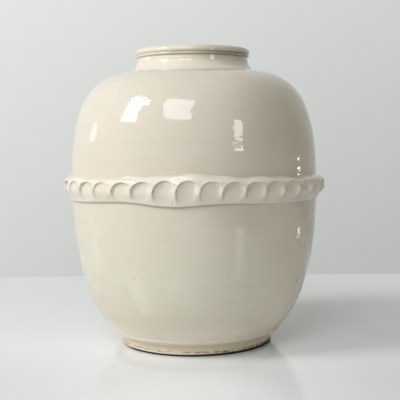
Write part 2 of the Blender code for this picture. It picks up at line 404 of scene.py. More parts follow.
@dataclass(frozen=True)
class TinGlaze(Finish):
    """Opaque cream tin glaze on earthenware, poured and fired glossy.

    It gives the eye a warm ivory that clouds softly towards pink and grey-green, faint level streaks from
    the throwing, and sharp reflections that waver because the glaze never lies quite flat.
    """

    name: str = "cream_tin_glaze"
    ior: float = 1.54
    bump_height: float = 0.00005
    ivory: str = "#C9C0AD"
    # A cooler, lighter cream low on the bowl: partly the glaze's own tone, partly painted light from the
    # table below.
    bowl: Coat = Coat("#CAC6B1")
    warm: Coat = Coat("#CCC2B0", Ramp(0.40, 0.75, high=0.7))
    streaked: Coat = Coat("#B7AF9A", Ramp(0.45, 0.85, high=0.22))
    # Pooled glaze and painted shade, deeper painted shade in creases, and thin glaze with painted light.
    pooled_and_painted_shade: Coat = Coat("#B7AF9A", Ramp(0.0, 1.0, high=0.8))
    painted_crease_shade: Coat = Coat("#8B8067", Ramp(1.0, 2.0, high=0.9))
    thin_and_painted_light: Coat = Coat("#E3D9C8", Ramp(0.0, -1.0, high=0.8))
    iron: Coat = Coat("#5A432E", Ramp(0.0, 1.0, high=0.75))
    bare_clay: Coat = Coat("#A88C6B")
    gloss: Ramp = Ramp(0.3, 0.8, 0.05, 0.10)
    bare_roughness: float = 0.7
    cloud_size: float = 0.045
    streak_height: float = 0.0032
    streak_draw: Triple = (0.05, 0.05, 1.0)
    streak_share: float = 0.2
    ripple_size: float = 0.006
    shoulder_ripple: Ramp = Ramp(0.232, 0.250, 1.0, 2.4)
    # The bowl coat lies low on the bowl and is held off the right, which stays warmer as painted warm light.
    bowl_top: Ramp = Ramp(0.150, 0.085)
    bowl_foot: Ramp = Ramp(0.030, 0.070)
    bowl_right: Ramp = Ramp(0.088, 0.045)
    prick_spacing: float = 0.016
    prick: Ramp = Ramp(0.035, 0.015)
    prick_rarity: float = 0.80
    speck_core: float = 0.3
    specks: tuple[Speck, ...] = (
        Speck((0.1052, -0.0627, 0.0747), 0.0018),
        Speck((-0.0603, -0.1107, 0.0873), 0.0010),
        Speck((-0.0888, -0.0957, 0.1115), 0.0008),
        Speck((-0.0791, -0.0825, 0.0540), 0.0008),
        Speck((0.0116, -0.1266, 0.0918), 0.0007),
    )

    def layers(self, tree: Tree, place: Socket) -> tuple[Socket, Socket, Socket]:
        """The glaze's colour, roughness and unevenness.

        The colour is ivory with a cooler, lighter cream low on the bowl, which is partly the glaze's own tone
        and partly painted light from the table below, and is held off the right, which stays warmer as
        painted warm light. It is clouded by a coarse noise and streaked by a noise squeezed along Z. The
        field named pool lightens it below 0, with thin glaze and painted light, deepens it up to 1, with
        pooled glaze and painted shade, and darkens it up to 2, with deeper painted shade. Bare clay shows
        where the field named bare is 1. The unevenness is a ripple and the same streaks, stronger on the
        shoulder.

        Args:
            tree: The material's node tree.
            place: The socket of Object coordinates.

        Returns:
            The three sockets.
        """
        height = add(tree, "SeparateXYZ", {"Vector": place}, "Z")
        across = height.node.outputs["X"]
        level = add(tree, "Mapping", {"Vector": place, "Scale": self.streak_draw})
        cloud = add(tree, "TexNoise", {"Vector": place, "Scale": 1 / self.cloud_size, "Detail": NOISE_DETAIL})
        streaks = {"Vector": level, "Scale": 1 / self.streak_height, "Detail": NOISE_DETAIL}
        streak = add(tree, "TexNoise", streaks)
        ripple = add(tree, "TexNoise", {"Vector": place, "Scale": 1 / self.ripple_size})
        pool = add(tree, "Attribute", output="Fac", attribute_name="pool")
        bare = add(tree, "Attribute", output="Fac", attribute_name="bare")
        bowl = ((self.bowl_top, height), (self.bowl_foot, height), (self.bowl_right, across))
        # The bowl coat is partly painted light; the field's coats carry pooled glaze and painted shade,
        # deeper painted shade, and painted light.
        coats = (
            (self.bowl, self.product(tree, bowl)),
            (self.warm, cloud),
            (self.streaked, streak),
            (self.pooled_and_painted_shade, pool),
            (self.painted_crease_shade, pool),
            (self.thin_and_painted_light, pool),
            (self.iron, self._specks(tree, place)),
            (self.bare_clay, bare),
        )
        gloss = add(tree, "MapRange", self.gloss.inputs(cloud))
        rough = add(tree, "Math", {0: bare, 1: self.bare_roughness, 2: gloss}, operation="MULTIPLY_ADD")
        uneven = add(tree, "Math", {0: streak, 1: self.streak_share, 2: ripple}, operation="MULTIPLY_ADD")
        wavy = add(tree, "MapRange", self.shoulder_ripple.inputs(height))
        uneven = add(tree, "Math", {0: uneven, 1: wavy}, operation="MULTIPLY")
        return self.coated(tree, self.ivory, coats), rough, uneven

    def _specks(self, tree: Tree, place: Socket) -> Socket:
        """The share of iron: placed specks, each by its distance, and a few pinpricks in scattered cells.

        Args:
            tree: The material's node tree.
            place: The socket of Object coordinates.

        Returns:
            The socket of the share.
        """
        away = add(tree, "TexVoronoi", {"Vector": place, "Scale": 1 / self.prick_spacing})
        prick = add(tree, "MapRange", self.prick.inputs(away))
        chance = away.node.outputs["Color"]
        rare = add(tree, "Math", {0: chance, 1: self.prick_rarity}, operation="GREATER_THAN")
        found = add(tree, "Math", {0: prick, 1: rare}, operation="MULTIPLY")
        for speck in self.specks:
            away = add(tree, "VectorMath", {0: place, 1: speck.place}, "Value", operation="DISTANCE")
            mark = Ramp(speck.radius, speck.radius * self.speck_core)
            mark = add(tree, "MapRange", mark.inputs(away))
            found = add(tree, "Math", {0: found, 1: mark}, operation="MAXIMUM")
        return found


@dataclass(frozen=True)
class FootGlaze(Finish):
    """The same tin glaze wiped thin on the foot, worn through to brown clay along the standing edge.

    It gives the eye a duller, pinker cream, broken brown dashes a few millimetres above the table, a pale
    rubbed line under them, a dark edge at the very bottom, which is dirt and painted contact shadow, and
    bare clay on the standing face.
    """

    name: str = "worn_foot_glaze"
    ior: float = 1.5
    bump_height: float = 0.00006
    ivory: str = "#D6C9AF"
    grey: Coat = Coat("#C9BCA3", Ramp(0.40, 0.75, high=0.6))
    # Pooled glaze and painted shade at the top of the foot, under the bowl's edge.
    pooled_and_painted_shade: Coat = Coat("#AFA48B")
    rubbed: Coat = Coat("#D3C8B3", Ramp(0.0034, 0.0022))
    stain: Coat = Coat("#553D2A")
    bare_clay: Coat = Coat("#A88C6B")
    # Dirt and painted contact shadow along the standing edge.
    dirt_and_contact_shadow: Coat = Coat("#120A04")
    gloss: Ramp = Ramp(0.3, 0.8, 0.16, 0.32)
    dull_roughness: float = 0.6
    cloud_size: float = 0.03
    dash_length: float = 0.006
    dash_draw: Triple = (1.0, 1.0, 2.5)
    dash_detail: float = 4.0
    belt_wander: float = 0.003
    belt_rise: Ramp = Ramp(0.0046, 0.0055)
    belt_fall: Ramp = Ramp(0.0072, 0.0061)
    breaks: Ramp = Ramp(0.36, 0.57, high=0.92)
    patches: Ramp = Ramp(0.36, 0.58, low=0.40)
    worn: Ramp = Ramp(0.0, 1.0)
    worn_patches: Ramp = Ramp(0.35, 0.62)
    dirt_and_shadow_low: Ramp = Ramp(0.00253, 0.00187)
    dirt_and_shadow_right: Ramp = Ramp(-0.02, 0.06)
    dirt_and_shadow_climb: float = -0.0008
    dirt_and_shadow_off_face: Ramp = Ramp(0.00005, 0.0002)
    dirt_and_shadow_left: Ramp = Ramp(-0.080, -0.066, low=0.25)
    grain_size: float = 0.0025

    def layers(self, tree: Tree, place: Socket) -> tuple[Socket, Socket, Socket]:
        """The worn glaze's colour, roughness and unevenness.

        Brown dashes lie in a belt that wanders by a cloud noise, where a noise drawn out round the foot is
        high. The field named wear spreads the stain over a stretch. The rubbed line fills the height below
        the belt, dirt and painted contact shadow the lowest millimetres, higher on the right and fainter at
        the left end, and bare clay the field named bare. The field named pool darkens the
        top of the foot with pooled glaze and painted shade.

        Args:
            tree: The material's node tree.
            place: The socket of Object coordinates.

        Returns:
            The three sockets.
        """
        height = add(tree, "SeparateXYZ", {"Vector": place}, "Z")
        across = height.node.outputs["X"]
        drawn = add(tree, "Mapping", {"Vector": place, "Scale": self.dash_draw})
        cloud = add(tree, "TexNoise", {"Vector": place, "Scale": 1 / self.cloud_size, "Detail": NOISE_DETAIL})
        dash = {"Vector": drawn, "Scale": 1 / self.dash_length, "Detail": self.dash_detail}
        grime = add(tree, "TexNoise", dash)
        grain = add(tree, "TexNoise", {"Vector": place, "Scale": 1 / self.grain_size, "Detail": NOISE_DETAIL})
        pool = add(tree, "Attribute", output="Fac", attribute_name="pool")
        bare = add(tree, "Attribute", output="Fac", attribute_name="bare")
        wear = add(tree, "Attribute", output="Fac", attribute_name="wear")
        belt = add(tree, "Math", {0: cloud, 1: self.belt_wander, 2: height}, operation="MULTIPLY_ADD")
        dashes = ((self.belt_rise, belt), (self.belt_fall, belt), (self.breaks, grime), (self.patches, cloud))
        # Dirt and painted contact shadow: the lowest millimetres, rising on the right and fainter at the left
        # end.
        right = add(tree, "MapRange", self.dirt_and_shadow_right.inputs(across))
        lowered = add(tree, "Math", {0: right, 1: self.dirt_and_shadow_climb, 2: height}, operation="MULTIPLY_ADD")
        dirt_and_contact_shadow = ((self.dirt_and_shadow_low, lowered), (self.dirt_and_shadow_off_face, height), (self.dirt_and_shadow_left, across))
        dirty_and_shadowed = self.product(tree, dirt_and_contact_shadow)
        coats = (
            (self.grey, grime),
            (self.pooled_and_painted_shade, pool),
            (self.rubbed, height),
            (self.stain, self.product(tree, dashes)),
            (self.stain, self.product(tree, ((self.worn, wear), (self.worn_patches, grime)))),
            (self.bare_clay, bare),
            (self.dirt_and_contact_shadow, dirty_and_shadowed),
        )
        rough = add(tree, "MapRange", self.gloss.inputs(grime))
        for dull in (bare, dirty_and_shadowed):
            rough = add(tree, "Math", {0: dull, 1: self.dull_roughness, 2: rough}, operation="MULTIPLY_ADD")
        return self.coated(tree, self.ivory, coats), rough, grain


@dataclass(frozen=True)
class TableTop(Finish):
    """White laminate table top, pressed smooth, which shows the eye a soft sheen and no grain."""

    name: str = "white_laminate"
    ior: float = 1.46
    bump_height: float = 0.000004
    white: str = "#E6E9E6"
    shade: Coat = Coat("#D3D6D3")
    roughness: float = 0.12
    unshaded_middle: float = -0.03
    aside: Ramp = Ramp(0.05, 0.22)
    ahead: Ramp = Ramp(-0.03, -0.17)
    grain_size: float = 0.004

    def layers(self, tree: Tree, place: Socket) -> tuple[Socket, float, Socket]:
        """The laminate's colour, white with painted shade in the front corners, where light falls off, and
        its even sheen.

        Args:
            tree: The material's node tree.
            place: The socket of Object coordinates.

        Returns:
            The colour's socket, the roughness and the socket of a fine unevenness.
        """
        across = add(tree, "SeparateXYZ", {"Vector": place}, "X")
        # Painted shade on the table, darker towards the front corners, where the lamps' light falls off.
        aside = add(tree, "Math", {0: across, 1: self.unshaded_middle}, operation="SUBTRACT")
        aside = add(tree, "Math", {0: aside}, operation="ABSOLUTE")
        dull = self.product(tree, ((self.aside, aside), (self.ahead, across.node.outputs["Y"])))
        grain = add(tree, "TexNoise", {"Vector": place, "Scale": 1 / self.grain_size})
        return self.coated(tree, self.white, ((self.shade, dull),)), self.roughness, grain


@dataclass(frozen=True)
class Stretch:
    """A run of a turned section from one corner to the next, with how its surface is finished.

    The points are rows of radius and height. The rest says how much of the wall's unevenness the stretch
    takes, how bare of glaze it is, and its pool: above 0 for pooled glaze and painted
    shade, below 0 for thin glaze and painted light.
    """

    points: Array
    uneven: float = 0.0
    bare: float = 0.0
    pool: float = 0.0


@dataclass(frozen=True)
class Section:
    """A turned piece's whole outline, put together from its stretches."""

    stretches: tuple[Stretch, ...]

    def points(self) -> Array:
        """All the points, as rows of radius and height."""
        return np.vstack([stretch.points for stretch in self.stretches])

    def values(self, name: str) -> Array:
        """A column of one of the stretches' values, repeated for each of their points."""
        counts = [len(stretch.points) for stretch in self.stretches]
        return np.repeat([getattr(stretch, name) for stretch in self.stretches], counts)[:, None]


@dataclass(frozen=True)
class VaseForm:
    """The sizes that the pieces share, and the wall's curve and hand-made unevenness."""

    height: float = 0.320
    belly_radius: float = 0.1335
    belly_height: float = 0.1743
    wall: float = 0.0085
    floor: float = 0.011
    slip: float = 0.00005
    shoulder_power: float = 2.62
    bowl_power_up: float = 2.34
    bowl_power_out: float = 2.60
    bowl_end_radius: float = 0.0410
    seam_height: float = 0.1705
    tongue_height: float = 0.006
    shoulder_height: float = 0.2917
    shoulder_radius: float = 0.0703
    crown: float = 0.0033
    crown_radius: float = 0.105
    spigot_radius: float = 0.056
    spigot_depth: float = 0.003
    neck_bore: float = 0.0502
    foot_height: float = 0.0138
    foot_well: float = 0.007
    base_spigot_radius: float = 0.067
    columns: int = 288
    waist_samples: int = 20
    bowl_samples: int = 1200
    shoulder_samples: int = 1600
    wave_count: int = 40
    wave_turns: tuple[int, int] = (1, 30)
    wave_slope: float = 0.014
    wave_length: float = 0.016
    wave_length_ratio: float = 3.5
    ring_spacings: tuple[float, ...] = (0.0095, 0.0052, 0.0029)
    ring_slopes: tuple[float, ...] = (0.0096, 0.0084, 0.0072)
    ring_swell: float = 0.053
    ring_fade: float = 0.45
    ring_lobes: tuple[int, int] = (2, 6)
    ring_waver: float = 0.6
    finger_spacing: float = 0.009
    finger_height: float = 0.0006
    seed: int = 71

    def angles(self) -> Array:
        """Even angles round the vase, one for each column."""
        return np.linspace(0.0, TURN, self.columns, endpoint=False)[None, :]

    def wall_radius(self, height: Array) -> Array:
        """Outside radius of the wall: two superellipse quarters that meet at the widest place.

        Args:
            height: Heights above the table.

        Returns:
            Radius at each height.
        """
        rise = np.clip((height - self.belly_height) / (self.shoulder_height - self.belly_height), 0.0, 1.0)
        drop = np.clip((self.belly_height - height) / self.belly_height, 0.0, 1.0)
        out_up = (1 - rise**self.shoulder_power) ** (1 / self.shoulder_power)
        out_down = (1 - drop**self.bowl_power_up) ** (1 / self.bowl_power_out)
        upper = self.shoulder_radius + (self.belly_radius - self.shoulder_radius) * out_up
        lower = self.bowl_end_radius + (self.belly_radius - self.bowl_end_radius) * out_down
        return np.where(height >= self.belly_height, upper, lower)

    def bowl_line(self, start: float) -> Array:
        """The bowl's outside from a height up to the waist joint, as rows of radius and height."""
        heights = np.linspace(start, self.seam_height, self.bowl_samples)
        return np.column_stack([self.wall_radius(heights), heights])

    def shoulder_line(self) -> Array:
        """The upper wall's outside from the waist joint to the shoulder's edge.

        The quarter superellipse is drawn by an angle: its radius goes with a power of the cosine and its
        height with the same power of the sine. Near the neck it eases up to the crown.

        Returns:
            Points as rows of radius and height.
        """
        joint = self.seam_height + self.slip
        below = np.linspace(joint, self.belly_height, self.waist_samples, endpoint=False)
        angle = np.linspace(0.0, math.pi / 2, self.shoulder_samples)
        power = 2 / self.shoulder_power
        reach = self.belly_radius - self.shoulder_radius
        rise = self.shoulder_height - self.belly_height
        radius = self.shoulder_radius + reach * np.cos(angle).clip(0.0) ** power
        height = self.belly_height + rise * np.sin(angle) ** power
        height = height + Ramp(self.crown_radius, self.shoulder_radius, high=self.crown).ease(radius)
        wall = np.column_stack([self.wall_radius(below), below])
        return np.vstack([wall, np.column_stack([radius, height])])

    def inside_line(self, outside: Array, lowest: float, rows: int) -> Array:
        """The wall's inside, one wall's thickness square to the outside, from just over a height up.

        Args:
            outside: The outside's points, as rows of radius and height.
            lowest: Height that the inside stays over.
            rows: How many points to return.

        Returns:
            Points as rows of radius and height.
        """
        inside = evenly(outside, 4 * rows)
        inside = inside - self.wall * squares(inside)
        return evenly(inside[inside[:, 1] > lowest], rows)

    def relief(self, angle: Array, along: Array) -> Array:
        """How far the hand-made wall stands out from its true curve.

        It is a sum of seeded waves and of throwing rings. Each wave is a cosine of a whole number of turns
        and a rise along the wall, with a height that gives every wave the same slope. Each ring is a sine
        of the way up the wall that climbs one turn in a spiral, wavers, and swells and fades.

        Args:
            angle: Angles round the vase.
            along: Way up the wall, which at the waist joint is the height above the table.

        Returns:
            Distance out from the true curve.
        """
        hand = np.random.default_rng(self.seed)
        total = np.zeros(np.broadcast(angle, along).shape)
        for _ in range(self.wave_count):
            around = int(hand.integers(*self.wave_turns))
            steep = TURN / (self.wave_length * self.wave_length_ratio ** hand.random())
            phase = TURN * hand.random()
            climb = steep if hand.random() > 0.5 else -steep
            slope = self.wave_slope * math.sqrt(2 / self.wave_count)
            size = slope / math.hypot(steep, around / self.belly_radius)
            total += size * np.cos(around * angle + climb * along + phase)
        for spacing, slope in zip(self.ring_spacings, self.ring_slopes):
            phase = TURN * hand.random()
            lobes = int(hand.integers(*self.ring_lobes))
            waver = lobes * angle + phase
            swell = np.cos(TURN * along / self.ring_swell + phase) * np.cos(waver)
            climb = TURN * along / spacing + angle + phase + self.ring_waver * np.sin(waver)
            total += slope * spacing / TURN * (1 - self.ring_fade + self.ring_fade * swell) * np.sin(climb)
        return total

    def fingers(self, angle: Array, height: Array) -> Array:
        """Finger ridges inside the wall: a sine of height that climbs one turn in a spiral."""
        return self.finger_height * np.sin(TURN * height / self.finger_spacing + angle)


@dataclass
class TurnedPiece:
    """A piece turned on the wheel: its outline goes round the axis and is put out of true by hand."""

    form: VaseForm
    node: ClassVar[Node]
    closing: ClassVar[Closing] = Closing.RING

    def section(self) -> Section:
        """The piece's outline, with the outside on the right of its direction of travel."""
        raise NotImplementedError

    def shift(self, section: Section, angle: Array) -> tuple[Array, Array]:
        """How far each place of the outline is out of true at each angle, outwards and upwards."""
        raise NotImplementedError

    def fields(self, section: Section, angle: Array) -> dict[str, Array]:
        """What the material reads at each place and angle, apart from how bare it is."""
        raise NotImplementedError

    def build(self, finish: bpy.types.Material) -> bpy.types.Object:
        """Turns the outline round the axis.

        Args:
            finish: The glaze.

        Returns:
            The piece.
        """
        section = self.section()
        outline = section.points()
        angle = self.form.angles()
        out, up = self.shift(section, angle)
        points = turned(outline[:, :1] + out, angle, outline[:, 1:] + up)
        fields = {"bare": section.values("bare"), **self.fields(section, angle)}
        return surface_object(self.node, points, fields, self.closing, finish)


@dataclass
class ThrownWall(TurnedPiece):
    """A thrown wall, uneven where its stretches say 1 and ridged by the fingers where they say -1."""

    def way_up(self, outline: Array) -> Array:
        """The way up the wall that its unevenness follows."""
        raise NotImplementedError

    def runs(self, angle: Array, outline: Array) -> Array:
        """Pooled glaze and painted shade (above 0), and thin glaze and painted light (below 0), on the
        outside.
        """
        raise NotImplementedError

    def shift(self, section: Section, angle: Array) -> tuple[Array, Array]:
        """The form's relief on the outside and its finger ridges inside, both times the square direction.

        Args:
            section: The outline.
            angle: Angles round the vase.

        Returns:
            The distances outwards and upwards, for each place.
        """
        outline = section.points()
        uneven = section.values("uneven")
        out = np.clip(uneven, 0, 1) * self.form.relief(angle, self.way_up(outline))
        out = out + np.clip(-uneven, 0, 1) * self.form.fingers(angle, outline[:, 1:])
        square = squares(outline)
        return out * square[:, :1], out * square[:, 1:]

    def fields(self, section: Section, angle: Array) -> dict[str, Array]:
        """The stretches' glaze and painted light, plus the outside's runs of glaze and its painted light and
        shade.

        Args:
            section: The outline.
            angle: Angles round the vase.

        Returns:
            Values for each place by the field's name.
        """
        outside = np.clip(section.values("uneven"), 0, 1)
        return {"pool": section.values("pool") + outside * self.runs(angle, section.points())}


@dataclass
class LowerBody(ThrownWall):
    """The thrown bowl: its floor, its wall, and the ledge and tongue of the waist joint."""

    node: ClassVar[Node] = Node.LOWER_BODY
    closing: ClassVar[Closing] = Closing.POLES
    edge_round: float = 0.0048
    edge_lean: float = 0.0009
    axis_gap: float = 0.004
    cove: float = 0.018
    cove_rise: float = 0.004
    wall_rows: int = 230
    inside_rows: int = 44
    front_from: Ramp = Ramp(0.02, 0.27)
    front_to: Ramp = Ramp(0.38, 0.66, 1.0, 0.0)
    # Pooled glaze and painted shade under the band on the front right.
    pool_and_shade_under_band: Ramp = Ramp(0.118, 0.148, high=0.65)
    right_side: Ramp = Ramp(0.40, 0.85)
    # Painted light low down on the right and on the bowl by the foot.
    painted_light_low_down: Ramp = Ramp(0.125, 0.040, high=0.9)
    painted_light_by_foot: Ramp = Ramp(0.040, 0.022, high=0.6)

    def section(self) -> Section:
        """The bowl's outline, from the middle of its underside round to the middle of its floor.

        Returns:
            The section.
        """
        form = self.form
        floor_top = form.foot_well + form.floor
        seat = form.foot_height
        outside = evenly(form.bowl_line(seat + self.edge_round), self.wall_rows)
        inside = form.inside_line(outside, floor_top + self.cove_rise, self.inside_rows)
        corner = outside[0, 0] - self.edge_round
        spigot = form.base_spigot_radius
        tongue = outside[-1, 0] - form.wall / 2
        tongue_top = form.seam_height + form.tongue_height
        turn_in = inside[0, 0] - self.cove
        edge = curve([(corner, seat), (outside[0, 0] - self.edge_lean, seat), tuple(outside[0])], 10)
        cove = curve([tuple(inside[0]), (inside[0, 0] - self.cove_rise, floor_top), (turn_in, floor_top)], 10)
        return Section(
            (
                Stretch(line((self.axis_gap, form.foot_well), (spigot, form.foot_well), 12), bare=1.0),
                Stretch(line((spigot, form.foot_well), (spigot, seat), 5)[1:], bare=1.0),
                Stretch(line((spigot, seat), (corner, seat), 5)[1:-1], bare=1.0),
                Stretch(edge[:-1], uneven=1.0, pool=0.3),
                Stretch(outside, uneven=1.0),
                Stretch(np.array([(tongue, form.seam_height), (tongue, tongue_top)])),
                Stretch(np.array([(inside[-1, 0], tongue_top)])),
                Stretch(inside[::-1], uneven=-1.0),
                Stretch(cove[1:-1]),
                Stretch(line((turn_in, floor_top), (self.axis_gap, floor_top), 16)),
            )
        )

    def way_up(self, outline: Array) -> Array:
        """The height above the table."""
        return outline[:, 1:]

    def runs(self, angle: Array, outline: Array) -> Array:
        """Pooled glaze and painted shade under the band, front right; painted light low on the right and by
        the foot.

        All are products of eases, of the height and of the sine of the angle round the vase.

        Args:
            angle: Angles round the vase.
            outline: The section's points, as rows of radius and height.

        Returns:
            Pooled glaze and painted shade above 0, painted light below 0.
        """
        right = np.sin(angle)
        height = outline[:, 1:]
        # Pooled glaze and painted shade under the band; painted light low on the right and by the foot.
        front = self.front_from.ease(right) * self.front_to.ease(right) * (np.cos(angle) > 0)
        thin_and_painted_light = self.right_side.ease(right) * self.painted_light_low_down.ease(height)
        thin_and_painted_light = np.maximum(thin_and_painted_light, self.painted_light_by_foot.ease(height))
        return front * self.pool_and_shade_under_band.ease(height) - thin_and_painted_light


@dataclass
class UpperBody(ThrownWall):
    """The thrown wall and shoulder, lipped over the waist joint and rebated for the neck."""

    node: ClassVar[Node] = Node.UPPER_BODY
    mouth_round: float = 0.0045
    mouth_depth: float = 0.002
    joint_gap: float = 0.001
    wall_rows: int = 250
    inside_rows: int = 44
    right_side: Ramp = Ramp(0.25, 0.55)
    # Pooled glaze and painted shade on the right of the shoulder.
    pool_and_shade_up_wall: Ramp = Ramp(0.195, 0.225, high=0.45)
    off_neck: Ramp = Ramp(0.085, 0.105)
    # Painted light on the crown by the neck.
    painted_light_by_neck: Ramp = Ramp(0.088, 0.076)

    def section(self) -> Section:
        """The shoulder's outline, from the waist up the outside, over the shoulder and down the inside.

        Returns:
            The section.
        """
        form = self.form
        outside = evenly(form.shoulder_line(), self.wall_rows)
        inner_foot = outside[0, 1] + form.tongue_height
        inside = form.inside_line(outside, inner_foot + self.joint_gap, self.inside_rows)
        seat = form.shoulder_height - form.spigot_depth - form.slip
        rebate = form.spigot_radius + form.slip
        ceiling = inside[-1, 1]
        bore = form.neck_bore
        joint = outside[0, 0] - form.wall / 2 + form.slip
        mouth = (bore + self.mouth_round, ceiling)
        return Section(
            (
                Stretch(outside, uneven=1.0),
                # The crown out to the rebate is lightened with painted light.
                Stretch(line(tuple(outside[-1]), (rebate, outside[-1, 1]), 10)[1:], pool=-0.6),
                Stretch(np.array([(rebate, seat), (bore, seat)]), bare=1.0),
                Stretch(curve([(bore, seat - self.mouth_depth), (bore, ceiling), mouth], 7)),
                Stretch(line(mouth, tuple(inside[-1]), 8)[1:-1]),
                Stretch(inside[::-1], uneven=-1.0),
                Stretch(np.array([(outside[0, 0] - form.wall, inner_foot)]), bare=1.0),
                Stretch(np.array([(joint, inner_foot), (joint, outside[0, 1])]), bare=1.0),
            )
        )

    def way_up(self, outline: Array) -> Array:
        """The way along the outline from the waist joint, over the joint's height."""
        return self.form.seam_height + lengths(outline)[:, None]

    def runs(self, angle: Array, outline: Array) -> Array:
        """Painted light on the crown round the neck; pooled glaze and painted shade on the right of the
        shoulder.

        Both are eases, of the radius, and of the height and the sine of the angle round the vase.

        Args:
            angle: Angles round the vase.
            outline: The section's points, as rows of radius and height.

        Returns:
            Pooled glaze and painted shade above 0, painted light below 0.
        """
        radius = outline[:, :1]
        right = self.right_side.ease(np.sin(angle)) * (np.cos(angle) > 0)
        pooled_and_painted_shade = right * self.pool_and_shade_up_wall.ease(outline[:, 1:]) * self.off_neck.ease(radius)
        return pooled_and_painted_shade - self.painted_light_by_neck.ease(radius)


@dataclass
class NeckCollar(TurnedPiece):
    """The neck: a spigot, a hollow side that flares to the shoulder, a thin bead and a rolled rim."""

    node: ClassVar[Node] = Node.NECK_COLLAR
    radius: float = 0.0600
    skirt_round: float = 0.0004
    side_drops: tuple[float, ...] = (0.0109, 0.0130, 0.0148, 0.0165, 0.0178, 0.0195, 0.0215, 0.0247)
    side_leans: tuple[float, ...] = (0.0, 7.5, 12.0, 22.0, 28.0, 34.0, 42.0, 52.0)
    side_samples: int = 60
    lower_groove: tuple[Point, ...] = ((-0.0002, 0.0005), (0.0002, 0.0010))
    upper_groove: tuple[Point, ...] = ((0.0011, -0.0070), (0.0010, -0.0067), (0.0013, -0.0064))
    rim_radius: float = 0.0622
    rim_round: Point = (0.0052, 0.0046)
    rim_arc: Point = (-20, 90)
    lip_round: float = 0.0050
    bead_radius: float = 0.0617
    bead_round: Point = (0.0010, 0.0013)
    bead_arc: Point = (-72, 72)
    bead_drop: float = 0.0084
    out_of_true: tuple[Wave, ...] = ((0.00025, 2, 2.1708), (0.00012, 3, 3.5708))
    dip: tuple[Wave, ...] = ((0.00022, 2, 2.6708),)
    ripple_height: float = 0.00006
    ripple_spacing: float = 0.0047
    free_rise: float = 0.010
    # Painted shade high on the right, and the stretches' painted light and shade made stronger away from the
    # left.
    painted_shade_right: Ramp = Ramp(-0.05, 0.45)
    painted_shade_up: Ramp = Ramp(0.300, 0.310, high=0.75)
    painted_light_by_side: Ramp = Ramp(-0.75, -0.25, 0.45, 1.45)

    def side(self) -> Array:
        """The hollow side from the shoulder up to the bead.

        Its lean from upright passes through set angles on the way down, and its radius is the narrowest
        radius plus the sum of the steps down times the lean's tangent.

        Returns:
            Points as rows of radius and height, from the bottom up.
        """
        drop = np.linspace(self.side_drops[0], self.side_drops[-1], self.side_samples)
        lean = np.radians(np.interp(drop, self.side_drops, self.side_leans))
        radius = self.radius + np.cumsum(np.tan(lean)) * (drop[1] - drop[0])
        return np.column_stack([radius, self.form.height - drop])[::-1]

    def section(self) -> Section:
        """The neck's outline, from the bore under the spigot out, up the side, over the rim and down.

        Returns:
            The section.
        """
        form = self.form
        top = form.height
        foot = form.shoulder_height + form.crown + form.slip
        under = form.shoulder_height - form.spigot_depth
        bore = form.neck_bore
        spigot = form.spigot_radius
        side = self.side()
        skirt = side[0, 0] + self.skirt_round
        lower_groove = np.asarray(self.lower_groove) + (self.radius, top - self.side_drops[0])
        upper_groove = np.asarray(self.upper_groove) + (self.radius, top)
        bead_centre = (self.bead_radius - self.bead_round[0], top - self.bead_drop)
        rim_centre = (self.rim_radius - self.rim_round[0], top - self.rim_round[1])
        lip_centre = (bore + self.lip_round, top - self.lip_round)
        return Section(
            (
                Stretch(line((bore, under), (spigot, under), 4)[:-1], bare=1.0),
                Stretch(line((spigot, under), (spigot, foot), 3)[:-1], bare=1.0),
                Stretch(line((spigot, foot), (skirt, foot), 4)[:-1], bare=1.0),
                Stretch(np.array([(skirt, foot)]), pool=0.2),
                # The side is lightened with painted light; the grooves and the bead are darkened with pooled
                # glaze and painted shade.
                Stretch(side, pool=-0.3),
                Stretch(lower_groove, pool=0.7),
                Stretch(arc(bead_centre, self.bead_round, *self.bead_arc, 12), pool=0.7),
                Stretch(upper_groove, pool=0.9),
                Stretch(arc(rim_centre, self.rim_round, *self.rim_arc, 26), pool=-0.2),
                Stretch(line((rim_centre[0], top), (lip_centre[0], top), 4)[1:-1], pool=-0.2),
                Stretch(arc(lip_centre, (self.lip_round, self.lip_round), 90, 180, 16)),
                Stretch(line((bore, lip_centre[1]), (bore, under), 14)[1:-1]),
            )
        )

    def shift(self, section: Section, angle: Array) -> tuple[Array, Array]:
        """A little out of true as it left the wheel: sines of a few turns and a ripple, eased in with height.

        Args:
            section: The outline.
            angle: Angles round the vase.

        Returns:
            The distances outwards and upwards, for each place.
        """
        height = section.points()[:, 1:]
        ripple = self.ripple_height * np.sin(TURN * height / self.ripple_spacing + angle)
        shoulder = self.form.shoulder_height
        free = Ramp(shoulder, shoulder + self.free_rise).ease(height)
        return free * (waves(self.out_of_true, angle) + ripple), free * waves(self.dip, angle)

    def fields(self, section: Section, angle: Array) -> dict[str, Array]:
        """The stretches' glaze and painted light and shade, stronger away from the left; painted shade high
        on the right.

        Both go with eases of the sine of the angle round the vase, the second with one of the height too.

        Args:
            section: The outline.
            angle: Angles round the vase.

        Returns:
            Values for each place by the field's name.
        """
        right = np.sin(angle)
        pooled_and_painted_shade = self.painted_shade_right.ease(right) * self.painted_shade_up.ease(section.points()[:, 1:])
        return {"pool": section.values("pool") * self.painted_light_by_side.ease(right) + pooled_and_painted_shade}


